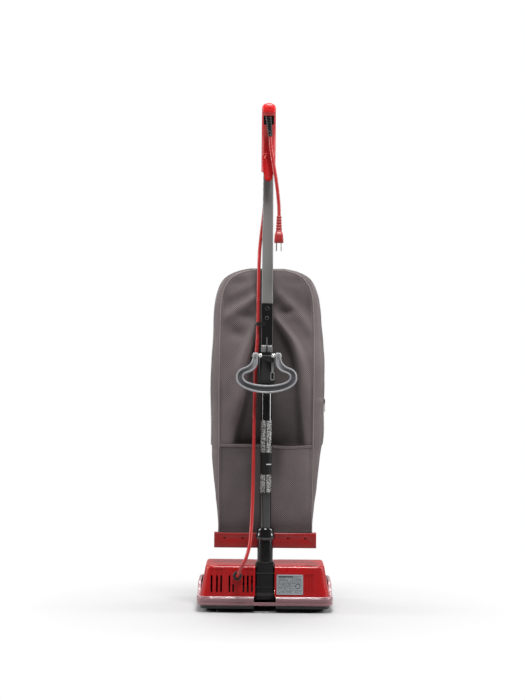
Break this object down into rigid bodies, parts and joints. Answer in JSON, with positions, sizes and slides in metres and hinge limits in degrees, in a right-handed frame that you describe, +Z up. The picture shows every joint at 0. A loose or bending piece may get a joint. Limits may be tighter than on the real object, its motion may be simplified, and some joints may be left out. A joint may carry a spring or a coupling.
{
  "type": "upright vacuum cleaner",
  "caption": "Upright commercial vacuum cleaner: red motor base on rear wheels, tilting tube handle with a bent grip, cloth dust bag, D carrying handle and a short plug lead.",
  "frame": {"origin": "on the floor, under the middle of the machine's box measured without its cords", "axes": "+Z up, +Y the way the machine is pushed, +X to the operator's right; the picture side is -Y"},
  "size_m": [0.33, 0.335, 1.2179],
  "materials": {
    "red_plastic": "moulded, satin gloss",
    "black_plastic": "moulded, fine texture",
    "black_gloss_plastic": "extruded, gloss",
    "bumper_plastic": "soft, slightly cloudy",
    "grey_plastic": "moulded, satin gloss",
    "grey_paint": "satin grey coat on steel tube",
    "black_paint": "black coat",
    "plated_steel": "zinc plated",
    "lamination_iron": "varnished laminations",
    "copper_winding": "varnished copper",
    "plug_brass": "bright",
    "brush_wood": "turned, clear coat",
    "bristle": "nylon tufts",
    "black_rubber": "matt",
    "red_cord": "smooth cord jacket",
    "silver_label": null,
    "bag_cloth": "woven polyester, twill",
    "filter_paper": "plain filter paper"
  },
  "bodies": {
    "base": {"bumper": "bumper_plastic", "chassis": "black_plastic", "hood": "red_plastic", "lead_grommet": "black_rubber", "nozzle_plate": "plated_steel", "rating_plate": "silver_label", "wheel_axle_left": "plated_steel", "wheel_axle_right": "plated_steel", "motor_stator": "lamination_iron", "field_coil_left": "copper_winding", "field_coil_right": "copper_winding", "end_bell_left": "black_plastic", "end_bell_right": "black_plastic", "fan_housing": "black_plastic", "intake_duct": "black_plastic", "drive_belt": "black_rubber", "brush_tunnel": "black_plastic", "brush_cap_left": "black_plastic", "brush_cap_right": "black_plastic", "neck_pin": "plated_steel"},
    "handle": {"neck": "black_plastic", "collar": "black_plastic", "fill_tube": "black_gloss_plastic", "dock": "black_plastic", "handle_tube": "grey_paint", "bracket_plate": "black_paint", "rivet_upper": "black_paint", "rivet_lower": "black_paint", "clamp_left": "plated_steel", "clamp_right": "plated_steel", "bail_rod": "plated_steel", "grip": "red_plastic", "grip_cap": "red_plastic", "strain_relief": "black_rubber", "power_cord": "red_cord", "plug": "red_cord", "plug_pins": "plug_brass", "motor_lead": "red_cord", "lead_clip": "black_plastic", "outer_bag": "bag_cloth", "paper_bag": "filter_paper", "bag_clip": "red_plastic"},
    "wheel_left": {"rear_wheel_left": "black_rubber"},
    "wheel_right": {"rear_wheel_right": "black_rubber"},
    "rotor": {"motor_shaft": "plated_steel", "armature": "lamination_iron", "commutator": "copper_winding", "fan": "black_plastic"},
    "brush": {"brush_core": "brush_wood", "bristle_row_front": "bristle", "bristle_row_rear": "bristle"},
    "carry": {"carry_handle": "grey_plastic"},
    "rocker": {"switch_rocker": "black_plastic"},
    "hook": {"cord_hook": "red_plastic"},
    "latch": {"dock_latch": "plated_steel"},
    "plate_button_left": {"plate_latch_left": "black_plastic"},
    "plate_button_right": {"plate_latch_right": "black_plastic"},
    "slider": {"zip_slider": "black_plastic"}
  },
  "joints": [
    {"name": "handle_tilt", "type": "hinge", "parent": "base", "child": "handle", "pos_m": [0, -0.0825, 0.046], "axis": [1, 0, 0], "range_deg": [0, 75]},
    {"name": "left_wheel_spin", "type": "hinge", "parent": "base", "child": "wheel_left", "pos_m": [-0.128, -0.0785, 0.023], "axis": [1, 0, 0], "continuous": true},
    {"name": "right_wheel_spin", "type": "hinge", "parent": "base", "child": "wheel_right", "pos_m": [0.128, -0.0785, 0.023], "axis": [1, 0, 0], "continuous": true},
    {"name": "motor_spin", "type": "hinge", "parent": "base", "child": "rotor", "pos_m": [0, 0.0055, 0.06], "axis": [1, 0, 0], "continuous": true},
    {"name": "brush_spin", "type": "hinge", "parent": "base", "child": "brush", "pos_m": [0, 0.1225, 0.028], "axis": [1, 0, 0], "continuous": true},
    {"name": "carry_handle_swing", "type": "hinge", "parent": "handle", "child": "carry", "pos_m": [0, -0.1095, 0.6175], "axis": [-1, 0, 0], "range_deg": [0, 150]},
    {"name": "switch_rock", "type": "hinge", "parent": "handle", "child": "rocker", "pos_m": [0, -0.069, 1.098], "axis": [1, 0, 0], "range_deg": [-8, 8]},
    {"name": "cord_hook_turn", "type": "hinge", "parent": "handle", "child": "hook", "pos_m": [0, -0.1185, 1.098], "axis": [0, 1, 0], "range_deg": [0, 180]},
    {"name": "dock_latch_swing", "type": "hinge", "parent": "handle", "child": "latch", "pos_m": [0.014, -0.101, 0.599], "axis": [0, -1, 0], "range_deg": [0, 25]},
    {"name": "plate_button_turn_left", "type": "hinge", "parent": "base", "child": "plate_button_left", "pos_m": [-0.118, 0.0785, 0.005], "axis": [0, 0, 1], "range_deg": [0, 90]},
    {"name": "plate_button_turn_right", "type": "hinge", "parent": "base", "child": "plate_button_right", "pos_m": [0.118, 0.0785, 0.005], "axis": [0, 0, -1], "range_deg": [0, 90]},
    {"name": "zip_slide", "type": "slide", "parent": "handle", "child": "slider", "axis": [0, 0, 1], "range_m": [-0.1, 0.1]}
  ],
  "couplings": [
    {"joint": "brush_spin", "follows": "motor_spin", "ratio": 0.509}
  ]
}
